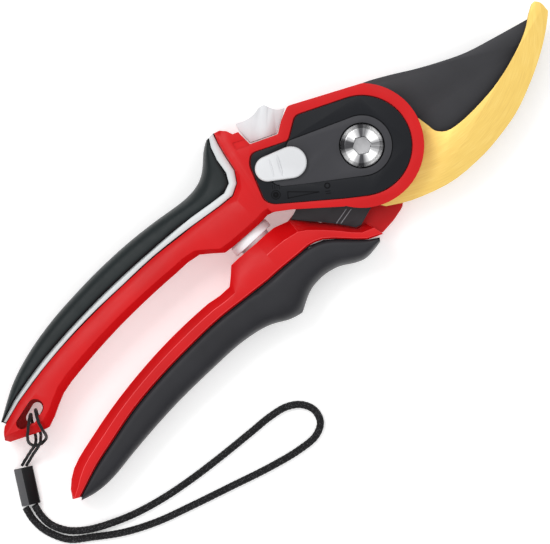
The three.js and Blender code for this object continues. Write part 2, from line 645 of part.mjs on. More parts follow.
const STRING_ROUTE = [
  [-140.3, -0.6, 2.4], [-137.8, 0.1, 3.6], [-135.2, 0.75, 6.2], [-133, 1.2, 9],
  [-131.9, 1.9, 9.6], [-131.5, 2.5, 7.2], [-131.4, 2.7, 4.4], [-130.4, 4.4, 2.3],
  [-128.9, 7.2, 2.2], [-127.9, 8.5, 4.6], [-127.7, 8.8, 10], [-128.6, 8.1, 15],
  [-130.7, 6.3, 16.4], [-132.8, 4.4, 15.4], [-133.7, 2.8, 11.8], [-133, 1, 7],
  [-131.2, 0.2, 5.2], [-129.3, 0.4, 6.4], [-128.4, 1.4, 11], [-128, 3, 15],
  [-127.2, 5.6, 16.4], [-126, 8, 15.2], [-125.6, 8.8, 10], [-126, 8.2, 4.4],
  [-127.4, 5.8, 2.3], [-129.2, 3.2, 2.6], [-130, 1.9, 5], [-130.3, 1.6, 8],
  [-131.2, 0.7, 10.2], [-133.1, 0.05, 8.6], [-135.1, -0.35, 5.9], [-137.3, -0.95, 3.5],
  [-139.3, -1.5, 2.4],
];

function tube(route, diameter, steps) {
  const path = new THREE.CatmullRomCurve3(
    route.map((point) => new THREE.Vector3(...point)), false, 'centripetal');
  const section = new THREE.Shape();
  for (let i = 0; i < 8; i += 1) {
    const turn = (Math.PI * (i + 0.5)) / 4;
    const step = [(diameter / 2) * Math.cos(turn), (diameter / 2) * Math.sin(turn)];
    if (i === 0) section.moveTo(...step);
    else section.lineTo(...step);
  }
  section.closePath();
  return new THREE.ExtrudeGeometry(section, { steps, extrudePath: path, bevelEnabled: false });
}

// The crimped sleeve is a block with one narrow and one wide sloping top face.
function makeSleeve() {
  const half = SLEEVE.width / 2;
  const section = outline([
    [-half, 0, 0.4], [half, 0, 0.4], [half, 2.6, 0.6], [-0.4, SLEEVE.height, 0.6], [-half, 1.8, 0.6],
  ]);
  const block = new THREE.ExtrudeGeometry(section, {
    depth: SLEEVE.length, bevelEnabled: false, curveSegments: 3,
  });
  const down = new THREE.Vector2(-0.508, -0.861);
  return block.rotateX(Math.PI / 2).translate(0, SLEEVE.length / 2, 0)
    .rotateZ(Math.atan2(-down.x, down.y) + Math.PI).translate(-143.4, -6.2, 0);
}

// ---------- the assembly ----------
part('upper_handle_body', makeUpperHandle(), RED);
part('upper_trim_strip', loftBetween(
  paired(TRIM_INNER, shifted(TRIM_OUTER, TRIM_INNER, GAP)), 5, trimSection), TRIM_WHITE);
part('upper_grip', loftBetween(
  paired(TRIM_OUTER, UPPER_GRIP_OUTER), 4, gripSection(0.62, 10)), GRIP_BLACK);

part('head_cover', cut(
  roundEndPlate(COVER_CORNERS, COVER.radius, COVER.bottom, COVER.top),
  roundEndPlate(PANEL_CORNERS, PANEL.radius, PANEL.bottom - GAP, COVER.top + 1, GAP),
  slideWindow(), rod(BOLT.head + 0.55, COVER.bottom - 1, COVER.top + 1),
), COVER_BLACK);

part('cover_panel', cut(
  roundEndPlate(PANEL_CORNERS, PANEL.radius, PANEL.bottom, PANEL.top),
  slideWindow(), rod(BOLT.head + 0.5, PANEL.bottom - 1, PANEL.top + 1),
), PANEL_GREY);

part('counter_blade', makeHook(), HOOK_GOLD);
HOOK_SCREWS.forEach((place, i) => part(
  `counter_blade_screw_${i + 1}`, makeCountersunkScrew(place, HOOK_SCREW, HOOK.top), STEEL));

part('pivot_bolt', makePivotBolt(), CHROME);
part('pivot_washer', ring(HEAD_BORE + 0.2, BOLT_WASHER.outer, BOLT_WASHER.bottom,
  BOLT_WASHER.top), STEEL);
part('pivot_bushing', ring(BUSHING.inner, BUSHING.outer, 4.8, HOOK.top), BRONZE);
part('wave_washer', ring(BOLT.shank + 0.4, WAVE_WASHER.outer, WAVE_WASHER.bottom,
  WAVE_WASHER.top), STEEL);
part('pivot_nut', makePivotNut(), STEEL);

part('cutting_blade', makeBlade(), BLADE_BLACK);
BLADE_SCREWS.forEach((place, i) => part(
  `blade_screw_${i + 1}`, makeCountersunkScrew(place, BLADE_SCREW, BLADE.top - 1.1), STEEL));

part('lower_handle_body', makeLowerHandle(), RED);
part('lower_grip', loftBetween(
  paired(LOWER_GRIP_INNER, LOWER_GRIP_OUTER), 4, gripSection(0.62, 10)), GRIP_BLACK);

part('spring_cup', makeSpringCup(), CUP_GREY);
part('spring_seat', makeSpringSeat(), CUP_GREY);
part('return_spring', makeReturnSpring(), STEEL);

part('width_slider', makeWidthSlider(), BUTTON_WHITE);
part('lock_button', plate(lockOutline(), LOCK.bottom, LOCK.top, 0, 4), CUP_GREY);

part('lock_plate', makeLockPlate(), STEEL);

part('lanyard_string', tube(STRING_ROUTE, STRING_DIAMETER, 60), STRAP_BLACK);
part('lanyard_sleeve', makeSleeve(), SLEEVE_GREY);
part('wrist_cord', tube(CORD_ROUTE, CORD_DIAMETER, 64), STRAP_BLACK);

export default model;
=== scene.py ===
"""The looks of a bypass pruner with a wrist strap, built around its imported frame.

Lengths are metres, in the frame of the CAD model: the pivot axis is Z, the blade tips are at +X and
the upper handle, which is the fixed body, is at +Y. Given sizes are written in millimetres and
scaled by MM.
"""
import math

import bmesh
import bpy
from mathutils import Matrix, Vector
from mathutils.bvhtree import BVHTree


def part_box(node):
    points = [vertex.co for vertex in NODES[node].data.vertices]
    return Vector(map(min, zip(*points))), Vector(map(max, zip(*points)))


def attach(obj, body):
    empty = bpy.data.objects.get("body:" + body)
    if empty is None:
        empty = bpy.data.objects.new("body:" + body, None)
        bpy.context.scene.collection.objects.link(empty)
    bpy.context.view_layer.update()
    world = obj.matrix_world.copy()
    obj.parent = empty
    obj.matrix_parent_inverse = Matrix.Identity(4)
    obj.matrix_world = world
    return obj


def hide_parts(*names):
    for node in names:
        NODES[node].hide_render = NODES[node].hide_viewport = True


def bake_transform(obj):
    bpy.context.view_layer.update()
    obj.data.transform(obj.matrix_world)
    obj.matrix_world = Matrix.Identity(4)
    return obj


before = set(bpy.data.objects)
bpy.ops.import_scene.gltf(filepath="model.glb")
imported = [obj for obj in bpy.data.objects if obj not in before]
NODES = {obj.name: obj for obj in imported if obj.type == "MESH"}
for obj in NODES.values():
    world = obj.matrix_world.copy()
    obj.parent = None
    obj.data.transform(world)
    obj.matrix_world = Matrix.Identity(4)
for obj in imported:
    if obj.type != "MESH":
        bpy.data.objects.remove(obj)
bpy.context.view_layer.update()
MM = 0.001

UPPER = "upper_handle"
LOWER = "lower_handle"
WIDTH_STOP = "width_stop"
LOCK = "lock"


# ---------------------------------------------------------------- camera

VIEW_CENTRE = Vector((-44.8, -9.95, 12)) * MM      # the point that the camera looks down on
VIEW_TURN = math.radians(-43)                      # the camera's turn about the upright axis
VIEW_DISTANCE = 2.5
VIEW_WIDTH = 0.165                                 # how wide a stretch the camera takes in
SENSOR_MM = 36


def make_camera():
    data = bpy.data.cameras.new("camera")
    data.sensor_width = SENSOR_MM
    data.lens = SENSOR_MM * VIEW_DISTANCE / VIEW_WIDTH
    data.clip_start = 0.01
    camera = bpy.data.objects.new("camera", data)
    camera.rotation_euler = (0, 0, VIEW_TURN)
    camera.location = VIEW_CENTRE + Vector((0, 0, VIEW_DISTANCE))
    bpy.context.collection.objects.link(camera)
    bpy.context.scene.camera = camera


# ---------------------------------------------------------------- materials

class Finish:
    """A material's node tree, with short ways to add what a finish needs."""

    def __init__(self, name, color, roughness, metallic=0.0):
        self.material = bpy.data.materials.new(name)
        self.material.use_nodes = True
        self.tree = self.material.node_tree
        self.shader = self.tree.nodes["Principled BSDF"]
        self.color = color
        self.set(Roughness=roughness, Metallic=metallic)
        self.shader.inputs["Base Color"].default_value = (*color, 1)
        self.place = self.node("ShaderNodeTexCoord").outputs["Object"]

    def node(self, kind, **settings):
        node = self.tree.nodes.new(kind)
        for key, value in settings.items():
            setattr(node, key, value)
        return node

    def set(self, **values):
        for key, value in values.items():
            self.shader.inputs[key.replace("_", " ")].default_value = value
        return self

    def join(self, source, target):
        self.tree.links.new(source, target)

    def stretched(self, scale, turn=0.0):
        """Object coordinates with a scale of its own on each axis, turned about Z."""
        mapping = self.node("ShaderNodeMapping")
        mapping.inputs["Scale"].default_value = scale
        mapping.inputs["Rotation"].default_value = (0, 0, turn)
        self.join(self.place, mapping.inputs["Vector"])
        return mapping.outputs["Vector"]

    def noise(self, scale, detail=3.0, where=None):
        noise = self.node("ShaderNodeTexNoise")
        noise.inputs["Scale"].default_value = scale
        noise.inputs["Detail"].default_value = detail
        self.join(where or self.place, noise.inputs["Vector"])
        return noise.outputs["Fac"]

    def math(self, operation, a, b=0.0, c=0.0):
        node = self.node("ShaderNodeMath", operation=operation)
        for socket, value in zip(node.inputs, (a, b, c)):
            if isinstance(value, (int, float)):
                socket.default_value = value
            else:
                self.join(value, socket)
        return node.outputs["Value"]

    def ramp(self, source, stops):
        ramp = self.node("ShaderNodeValToRGB")
        points = ramp.color_ramp.elements
        while len(points) < len(stops):
            points.new(0.5)
        for point, (position, color) in zip(points, stops):
            point.position = position
            point.color = (*color, 1) if isinstance(color, tuple) else (color, color, color, 1)
        self.join(source, ramp.inputs["Fac"])
        return ramp.outputs["Color"]

    def spread(self, source, low, high):
        """A 0 to 1 source taken to the range from low to high."""
        node = self.node("ShaderNodeMapRange")
        node.inputs["To Min"].default_value = low
        node.inputs["To Max"].default_value = high
        self.join(source, node.inputs["Value"])
        return node.outputs["Result"]

    def tinted(self, source, dark, light):
        """Base colour that wanders between two shades of the finish's own colour."""
        shades = [tuple(channel * share for channel in self.color) for share in (dark, light)]
        self.join(self.ramp(source, [(0.3, shades[0]), (0.7, shades[1])]),
                  self.shader.inputs["Base Color"])

    def polar(self, centre=(0, 0)):
        """X, Y, angle and radius about an upright axis."""
        parts = self.node("ShaderNodeSeparateXYZ")
        self.join(self.place, parts.inputs["Vector"])
        x = self.math("SUBTRACT", parts.outputs["X"], centre[0])
        y = self.math("SUBTRACT", parts.outputs["Y"], centre[1])
        radius = self.math("SQRT", self.math("ADD", self.math("POWER", x, 2),
                                             self.math("POWER", y, 2)))
        return x, y, self.math("ARCTAN2", y, x), radius

    def rough(self, source, low, high):
        self.join(self.spread(source, low, high), self.shader.inputs["Roughness"])

    def bump(self, height, strength, distance, under=None):
        bump = self.node("ShaderNodeBump")
        bump.inputs["Strength"].default_value = strength
        bump.inputs["Distance"].default_value = distance
        self.join(height, bump.inputs["Height"])
        if under:
            self.join(under, bump.inputs["Normal"])
        self.join(bump.outputs["Normal"], self.shader.inputs["Normal"])
        return bump.outputs["Normal"]


def moulded_plastic(name, color, roughness, grain=0.06, gloss=0.4):
    """Injection-moulded plastic: spark-eroded grain, a slow drift of colour, faint rub marks."""
    finish = Finish(name, color, roughness)
    cloud = finish.noise(45, 4)
    finish.tinted(cloud, 0.9, 1.08)
    rubbed = finish.noise(1, 5, finish.stretched((120, 700, 300), 0.3))
    finish.rough(rubbed, roughness - 0.07, roughness + 0.09)
    finish.bump(finish.noise(5200, 2), grain, 0.05 * MM)
    finish.set(Specular_IOR_Level=gloss)
    return finish.material


def soft_rubber(name, color, roughness):
    """Overmoulded rubber: a fine pebble grain, dusty highlights and a soft sheen."""
    finish = Finish(name, color, roughness)
    finish.tinted(finish.noise(60, 5), 0.82, 1.2)
    finish.rough(finish.noise(220, 4), roughness - 0.08, roughness + 0.1)
    pebbles = finish.node("ShaderNodeTexVoronoi", feature="SMOOTH_F1")
    pebbles.inputs["Scale"].default_value = 2600
    finish.join(finish.place, pebbles.inputs["Vector"])
    finish.bump(pebbles.outputs["Distance"], 0.16, 0.05 * MM)
    finish.set(Sheen_Weight=0.05, Sheen_Roughness=0.5, Specular_IOR_Level=0.3)
    return finish.material


CHROME_TURN = math.radians(43)                     # where the painted dark reflection sectors of the bolt lie


def turned_metal(name, color, roughness):
    """Plated steel with fine turning rings about the pivot axis and a few scuffs."""
    finish = Finish(name, color, roughness, 1)
    radius = finish.polar()[3]
    rings = finish.node("ShaderNodeCombineXYZ")
    finish.join(finish.math("MULTIPLY", radius, 9000), rings.inputs["X"])
    lines = finish.noise(1, 2, rings.outputs["Vector"])
    finish.rough(finish.noise(500, 4), roughness - 0.05, roughness + 0.1)
    finish.bump(lines, 0.12, 0.02 * MM)
    return finish.material


def painted_reflection_chrome(name):
    """Bright plating turned on a lathe, with its reflection painted into the colour: soft dark
    sectors fan out from the axis, one side is painted lighter and radial lines run through it.
    """
    finish = Finish(name, (0.9, 0.9, 0.91), 0.26, 0.55)
    x, y, turn, radius = finish.polar()
    # Painted reflection: four dark sectors, a lighter side and radial noise stand in for how the
    # turned face mirrors the lights.
    sectors = finish.math("COSINE", finish.math("MULTIPLY_ADD", turn, 4, CHROME_TURN * 4))
    painted_lit_side = finish.math("COSINE", finish.math("ADD", turn, CHROME_TURN))
    unit = finish.node("ShaderNodeCombineXYZ")
    finish.join(finish.math("DIVIDE", x, radius), unit.inputs["X"])
    finish.join(finish.math("DIVIDE", y, radius), unit.inputs["Y"])
    painted_streaks_and_gloss = finish.noise(5, 5, unit.outputs["Vector"])
    tone = finish.math("ADD", finish.math("MULTIPLY", sectors, -0.26),
                       finish.math("MULTIPLY", painted_lit_side, 0.08))
    tone = finish.math("ADD", tone, finish.math("MULTIPLY_ADD", painted_streaks_and_gloss, 0.5, 0.3))
    # The painted reflection tone becomes the base colour, from near black to white; the same noise
    # also varies the roughness.
    finish.join(finish.ramp(tone, [(0.3, (0.05, 0.05, 0.055)), (0.52, (0.5, 0.5, 0.51)),
                                   (0.75, (1.0, 1.0, 1.0))]),
                finish.shader.inputs["Base Color"])
    rings = finish.node("ShaderNodeCombineXYZ")
    finish.join(finish.math("MULTIPLY", radius, 9000), rings.inputs["X"])
    lines = finish.noise(1, 2, rings.outputs["Vector"])
    finish.rough(painted_streaks_and_gloss, 0.2, 0.36)
    finish.bump(lines, 0.12, 0.02 * MM)
    return finish.material


def plain_metal(name, color, roughness):
    """Zinc-plated or drawn steel: a cloudy tone, small pits and varying gloss."""
    finish = Finish(name, color, roughness, 1)
    finish.tinted(finish.noise(300, 5), 0.8, 1.1)
    finish.rough(finish.noise(900, 4), roughness - 0.1, roughness + 0.12)
    finish.bump(finish.noise(3500, 3), 0.08, 0.02 * MM)
    return finish.material


GOLD = (0.88, 0.60, 0.14)
BRUSH_CENTRE = Vector((25, 25)) * MM               # the brushing runs in arcs about this point


def brushed_gold(name):
    """Gold-coloured coated steel, brushed along the crescent."""
    finish = Finish(name, GOLD, 0.36, 0.35)
    _, _, turn, radius = finish.polar(BRUSH_CENTRE)
    brush = finish.node("ShaderNodeCombineXYZ")
    finish.join(finish.math("MULTIPLY", radius, 5200), brush.inputs["X"])
    finish.join(finish.math("MULTIPLY", turn, 9), brush.inputs["Y"])
    fine = finish.noise(1, 5, brush.outputs["Vector"])
    broad = finish.node("ShaderNodeCombineXYZ")
    finish.join(finish.math("MULTIPLY", radius, 700), broad.inputs["X"])
    finish.join(finish.math("MULTIPLY", turn, 4), broad.inputs["Y"])
    bands = finish.noise(1, 3, broad.outputs["Vector"])
    both = finish.math("ADD", finish.math("MULTIPLY", fine, 0.65),
                       finish.math("MULTIPLY", bands, 0.35))
    finish.join(finish.ramp(both, [(0.3, (0.80, 0.53, 0.13)), (0.5, GOLD),
                                   (0.7, (0.93, 0.68, 0.21))]),
                finish.shader.inputs["Base Color"])
    finish.rough(fine, 0.3, 0.5)
    finish.bump(fine, 0.2, 0.03 * MM)
    return finish.material


def coated_steel(name, color, roughness):
    """Black low-friction coating over ground steel: faint grinding lines and soft scuffs."""
    finish = Finish(name, color, roughness, 0.35)
    lines = finish.noise(1, 4, finish.stretched((60, 4200, 60), 0.35))
    finish.tinted(finish.noise(70, 4), 0.88, 1.15)
    finish.rough(lines, roughness - 0.06, roughness + 0.08)
    finish.bump(lines, 0.07, 0.02 * MM)
    return finish.material


def woven_strap(name, color):
    """Braided polyester: the piece's own map gives the weave, with grey flecks of painted highlight
    on it.
    """
    finish = Finish(name, color, 0.75)
    weave = finish.node("ShaderNodeUVMap", uv_map="braid").outputs["UV"]
    fibre = finish.node("ShaderNodeTexNoise")
    fibre.inputs["Scale"].default_value = 9
    finish.join(weave, fibre.inputs["Vector"])
    speck = finish.node("ShaderNodeTexVoronoi")
    speck.inputs["Scale"].default_value = 2
    finish.join(weave, speck.inputs["Vector"])
    # Grey flecks on the black stand in for glints on the braid: painted highlight.
    painted_highlight_fleck = finish.math("LESS_THAN", speck.outputs["Distance"], 0.26)
    finish.join(finish.ramp(painted_highlight_fleck, [(0.0, color), (1.0, (0.09, 0.09, 0.095))]),
                finish.shader.inputs["Base Color"])
    finish.rough(fibre.outputs["Fac"], 0.6, 0.9)
    finish.bump(fibre.outputs["Fac"], 0.3, 0.05 * MM)
    finish.set(Sheen_Weight=0.12, Sheen_Roughness=0.4, Specular_IOR_Level=0.25)
    return finish.material


def twisted_string(name, color):
    """Thin twisted cord: a fine noise in its own space tints and bumps it."""
    finish = Finish(name, color, 0.7)
    wave = finish.node("ShaderNodeTexNoise")
    wave.inputs["Scale"].default_value = 2500
    finish.join(finish.place, wave.inputs["Vector"])
    finish.tinted(wave.outputs["Fac"], 0.6, 1.8)
    finish.bump(wave.outputs["Fac"], 0.4, 0.05 * MM)
    finish.set(Sheen_Weight=0.1, Specular_IOR_Level=0.25)
    return finish.material


RED = moulded_plastic("red_plastic", (0.62, 0.004, 0.006), 0.4, 0.05, gloss=0.22)
# A lighter, glossier copy of the red plastic on the rounded edges: painted highlight along every
# crease.
RED_EDGE_HIGHLIGHT = moulded_plastic("red_plastic_painted_highlight", (0.82, 0.045, 0.05), 0.34, 0.05, gloss=0.4)
GRIP_UPPER = soft_rubber("soft_grip_upper", (0.006, 0.011, 0.012), 0.5)
GRIP_LOWER = soft_rubber("soft_grip_lower", (0.017, 0.017, 0.021), 0.5)
WHITE_TRIM = moulded_plastic("white_trim", (0.70, 0.73, 0.74), 0.38)
COVER_BLACK = moulded_plastic("cover_black", (0.006, 0.007, 0.010), 0.4, gloss=0.18)
PANEL_GREY = moulded_plastic("panel_grey", (0.037, 0.037, 0.043), 0.5, 0.1, gloss=0.3)
GOLD_FACE = brushed_gold("gold_blade")
# Dark brown for the blade's side faces and rounded edges: painted shade of its thickness.
GOLD_SIDE_SHADE = plain_metal("gold_blade_painted_side_shade", (0.07, 0.035, 0.012), 0.6)
BLACK_BLADE = coated_steel("black_blade", (0.026, 0.026, 0.030), 0.44)
ZINC = plain_metal("zinc_steel", (0.5, 0.51, 0.53), 0.35)
CHROME = painted_reflection_chrome("chrome")
SOCKET_STEEL = plain_metal("socket_steel", (0.42, 0.42, 0.43), 0.35)
BRONZE = turned_metal("bronze", (0.55, 0.36, 0.16), 0.4)
GREY_PLASTIC = moulded_plastic("grey_plastic", (0.9, 0.91, 0.93), 0.42)
WHITE_BUTTON = moulded_plastic("white_button", (0.76, 0.77, 0.79), 0.34)
SPRING_STEEL = plain_metal("spring_steel", (0.42, 0.42, 0.43), 0.3)
LOCK_GREY = moulded_plastic("lock_grey", (0.74, 0.75, 0.77), 0.4)
# Black for moulded marks, and for the strips and ring that stand in for shade: painted shade.
MARK_AND_SHADE_BLACK = moulded_plastic("mark_and_shade_black", (0.002, 0.002, 0.003), 0.55, gloss=0.1)
TANG_GREY = plain_metal("tang_line_grey", (0.3, 0.3, 0.32), 0.4)
STRAP_BLACK = woven_strap("strap_black", (0.006, 0.006, 0.007))
STRING_BLACK = twisted_string("string_black", (0.01, 0.01, 0.011))
SLEEVE_DARK = moulded_plastic("sleeve_plastic", (0.004, 0.004, 0.005), 0.45, gloss=0.2)
# A lighter copy of the sleeve's black plastic: painted light for its faces that look towards the
# key light.
SLEEVE_PAINTED_LIGHT = moulded_plastic("sleeve_plastic_painted_light", (0.085, 0.085, 0.09), 0.5)


# ---------------------------------------------------------------- helpers for pieces

SEAM_WIDTH = 0.5 * MM
SEAM_DEPTH = 0.5 * MM
SEAM_REACH = 0.7 * MM                              # how near the neighbour a wall has to be
SEAM_TILT = 0.6                                    # faces that look further up or down have none


def new_piece(name, mesh_builder, materials):
    """An object at the origin from a bmesh, with its materials in order."""
    mesh = bpy.data.meshes.new(name)
    mesh_builder.to_mesh(mesh)
    mesh_builder.free()
    for material in materials:
        mesh.materials.append(material)
    piece = bpy.data.objects.new(name, mesh)
    bpy.context.collection.objects.link(piece)
    return piece


def stands_for(piece, body, slot, *nodes):
    """Puts a piece on its body, in place of the CAD nodes that it is the looks of."""
    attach(piece, body)
    if nodes:
        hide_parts(*nodes)
    return piece


def round_edges(piece, width, segments=3, angle=28, edge_material=-1):
    """A rounded bevel on every edge sharper than the angle, in degrees."""
    bevel = piece.modifiers.new("rounded_edges", "BEVEL")
    bevel.width = width
    bevel.segments = segments
    bevel.limit_method = "ANGLE"
    bevel.angle_limit = math.radians(angle)
    bevel.harden_normals = True
    bevel.material = edge_material
    bevel.use_clamp_overlap = True
    piece.data.shade_smooth()


def solid_copy(node, flatten=0.4):
    """The CAD node's solid as a bmesh of whole faces instead of loose triangles."""
    shape = bmesh.new()
    shape.from_mesh(NODES[node].data)
    for layer in list(shape.loops.layers.uv):
        shape.loops.layers.uv.remove(layer)
    bmesh.ops.remove_doubles(shape, verts=shape.verts, dist=2e-6)
    bmesh.ops.dissolve_limit(shape, angle_limit=math.radians(flatten), verts=shape.verts,
                             edges=shape.edges, use_dissolve_boundaries=False)
    for face in shape.faces:
        face.material_index = 0
    return shape


def refined(node, body, slot, material, width, segments=3, edge=None):
    """A CAD node's own shape with rounded edges, which may take a material of their own, such as a
    painted highlight.
    """
    finishes = [material, edge] if edge else [material]
    piece = new_piece(node + "_moulding", solid_copy(node), finishes)
    round_edges(piece, width, segments, edge_material=len(finishes) - 1 if edge else -1)
    return stands_for(piece, body, slot, node)


def smooth_skin(node, body, slot, material, levels=2, crease_angle=40):
    """A CAD node's loft, subdivided, with its sharp rims kept."""
    shape = bmesh.new()
    shape.from_mesh(NODES[node].data)
    for layer in list(shape.loops.layers.uv):
        shape.loops.layers.uv.remove(layer)
    bmesh.ops.remove_doubles(shape, verts=shape.verts, dist=2e-6)
    bmesh.ops.join_triangles(shape, faces=shape.faces, angle_face_threshold=math.radians(60),
                             angle_shape_threshold=math.radians(180))
    creases = shape.edges.layers.float.new("crease_edge")
    for edge in shape.edges:
        if len(edge.link_faces) == 2 and edge.calc_face_angle() > math.radians(crease_angle):
            edge[creases] = 0.85
    piece = new_piece(node + "_skin", shape, [material])
    skin = piece.modifiers.new("fair_surface", "SUBSURF")
    skin.levels = skin.render_levels = levels
    piece.data.shade_smooth()
    return stands_for(piece, body, slot, node)


def make_shade_seam(name, body, slot, node, neighbour):
    """A dark strip down the parting line between two moulded pieces: painted shade of the groove
    there.
    """
    wall = solid_copy(node)
    beside = solid_copy(neighbour)
    reach = BVHTree.FromBMesh(beside)
    beside.free()
    spare = [face for face in wall.faces
             if abs(face.normal.z) > SEAM_TILT
             or reach.find_nearest(face.calc_center_median())[3] > SEAM_REACH]
    bmesh.ops.delete(wall, geom=spare, context="FACES")
    bmesh.ops.translate(wall, verts=wall.verts, vec=(0, 0, -SEAM_DEPTH))
    # The strip is black where only the groove's shade would be: painted shade.
    piece = new_piece(name, wall, [MARK_AND_SHADE_BLACK])
    bead = piece.modifiers.new("shade_strip_width", "SOLIDIFY")
    bead.thickness = SEAM_WIDTH
    bead.offset = 0.3
    return stands_for(piece, body, slot)


# ---------------------------------------------------------------- wrist strap

CORD_DIAMETER = 2.3 * MM
STRING_DIAMETER = 1.0 * MM
PLAITS = 5
CORD_ROUTE = [
    (-145.6, -11.9, 1.7), (-146.3, -15.4, 1.25), (-146, -19.6, 1.25), (-143.6, -24.2, 1.25),
    (-139.2, -28.1, 1.25), (-133, -31.4, 1.25), (-125, -34.5, 1.25), (-116, -36.8, 1.25),
    (-106, -38.4, 1.25), (-95, -39.5, 1.25), (-83.5, -40.3, 1.25), (-75.7, -40.8, 1.25),
    (-70, -42, 1.25), (-66.2, -44.6, 1.25), (-64.5, -48.4, 1.25), (-65.6, -52.3, 1.25),
    (-69.4, -54.4, 1.25), (-76, -54.1, 1.25), (-86, -51.9, 1.25), (-98.8, -48.1, 1.25),
    (-111.4, -44.3, 1.25), (-122, -40.8, 1.25), (-131.3, -36.4, 1.25), (-139.4, -30.9, 1.25),
    (-145.2, -26.4, 1.25), (-148.4, -19.9, 1.25), (-148.9, -14.9, 1.25), (-148.1, -10.6, 1.7),
]
STRING_ROUTE = [
    (-140.3, -0.6, 2.4), (-137.8, 0.1, 3.6), (-135.2, 0.75, 6.2), (-133, 1.2, 9),
    (-131.9, 1.9, 9.6), (-131.5, 2.5, 7.2), (-131.4, 2.7, 4.4), (-130.4, 4.4, 2.3),
    (-128.9, 7.2, 2.2), (-127.9, 8.5, 4.6), (-127.7, 8.8, 10), (-128.6, 8.1, 15),
    (-130.7, 6.3, 16.4), (-132.8, 4.4, 15.4), (-133.7, 2.8, 11.8), (-133, 1, 7),
    (-131.2, 0.2, 5.2), (-129.3, 0.4, 6.4), (-128.4, 1.4, 11), (-128, 3, 15),
    (-127.2, 5.6, 16.4), (-126, 8, 15.2), (-125.6, 8.8, 10), (-126, 8.2, 4.4),
    (-127.4, 5.8, 2.3), (-129.2, 3.2, 2.6), (-130, 1.9, 5), (-130.3, 1.6, 8),
    (-131.2, 0.7, 10.2), (-133.1, 0.05, 8.6), (-135.1, -0.35, 5.9), (-137.3, -0.95, 3.5),
    (-139.3, -1.5, 2.4),
]


def smooth_path(route, spacing):
    """Points along a centripetal Catmull-Rom curve through the route, evenly spaced."""
    points = [Vector(point) * MM for point in route]
    ends = [2 * points[0] - points[1], *points, 2 * points[-1] - points[-2]]
    fine = []
    for a, b, c, d in zip(ends, ends[1:], ends[2:], ends[3:]):
        knots = [0.0]
        for start, end in ((a, b), (b, c), (c, d)):
            knots.append(knots[-1] + math.sqrt((end - start).length))
        for step in range(24):
            t = knots[1] + (knots[2] - knots[1]) * step / 24

            def blend(p, q, i, j):
                return (p * (knots[j] - t) + q * (t - knots[i])) / (knots[j] - knots[i])
            ab, bc, cd = blend(a, b, 0, 1), blend(b, c, 1, 2), blend(c, d, 2, 3)
            fine.append(blend(blend(ab, bc, 0, 2), blend(bc, cd, 1, 3), 1, 2))
    fine.append(points[-1])
    even, travelled = [fine[0]], 0.0
    for start, end in zip(fine, fine[1:]):
        stretch = (end - start).length
        while travelled + stretch >= spacing:
            share = (spacing - travelled) / stretch
            start = start.lerp(end, share)
            stretch = (end - start).length
            even.append(start.copy())
            travelled = 0.0
        travelled += stretch
    if travelled > spacing * 0.3:
        even.append(fine[-1])
    return even


def corded_tube(name, path, radius, sides, relief, material):
    """A tube along a path whose surface carries a raised pattern: relief(turn, distance)."""
    shape = bmesh.new()
    braid = shape.loops.layers.uv.new("braid")
    rings, distances = [], [0.0]
    across = None
    for i, point in enumerate(path):
        ahead = path[min(i + 1, len(path) - 1)] - path[max(i - 1, 0)]
        ahead.normalize()
        if across is None:
            across = ahead.cross(Vector((0, 0, 1))).normalized()
        across = (across - ahead * across.dot(ahead)).normalized()
        up = across.cross(ahead)
        if i:
            distances.append(distances[-1] + (point - path[i - 1]).length)
        ring = []
        for side in range(sides):
            turn = math.tau * side / sides
            reach = radius * relief(turn, distances[-1])
            out = across * math.cos(turn) + up * math.sin(turn)
            ring.append(shape.verts.new(point + out * reach))
        rings.append(ring)
    for i, (ring, after) in enumerate(zip(rings, rings[1:])):
        for side in range(sides):
            follow = (side + 1) % sides
            face = shape.faces.new((ring[side], after[side], after[follow], ring[follow]))
            corners = ((side, i), (side, i + 1), (side + 1, i + 1), (side + 1, i))
            for loop, (turn, row) in zip(face.loops, corners):
                loop[braid].uv = (turn / sides * 10, distances[row] / (radius * 0.62))
    shape.faces.new(rings[0])
    shape.faces.new(reversed(rings[-1]))
    bmesh.ops.recalc_face_normals(shape, faces=shape.faces)
    piece = new_piece(name, shape, [material])
    piece.data.shade_smooth()
    return piece


def make_wrist_cord():
    radius = CORD_DIAMETER / 2
    pitch = radius * 1.6 / 0.85                    # how far a plait runs for each radian round

    def relief(turn, distance):
        crossing = math.sin(PLAITS * (turn + distance / pitch))
        crossing *= math.sin(PLAITS * (turn - distance / pitch))
        return 0.96 + 0.055 * crossing
    path = smooth_path(CORD_ROUTE, 0.22 * MM)
    cord = corded_tube("wrist_cord_braid", path, radius, 30, relief, STRAP_BLACK)
    stands_for(cord, UPPER, "strap_black", "wrist_cord")


def make_lanyard_string():
    radius = STRING_DIAMETER / 2

    def relief(turn, distance):
        return 0.95 + 0.07 * math.sin(3 * turn + distance / radius * 1.3)
    path = smooth_path(STRING_ROUTE, 0.16 * MM)
    string = corded_tube("lanyard_string_twist", path, radius, 12, relief, STRING_BLACK)
    stands_for(string, UPPER, "strap_black", "lanyard_string")


def make_sleeve():
    shape = solid_copy("lanyard_sleeve")
    for face in shape.faces:
        # Faces that look up and towards the key light take the lighter copy: painted light.
        outward = face.normal
        painted_lit = outward.z > 0.2 and outward.x * 0.861 - outward.y * 0.508 < -0.2
        face.material_index = 1 if painted_lit else 0
    piece = new_piece("lanyard_sleeve_block", shape, [SLEEVE_DARK, SLEEVE_PAINTED_LIGHT])
    round_edges(piece, 0.35 * MM, 3, 25)
    stands_for(piece, UPPER, "sleeve_plastic", "lanyard_sleeve")


# ---------------------------------------------------------------- metal parts

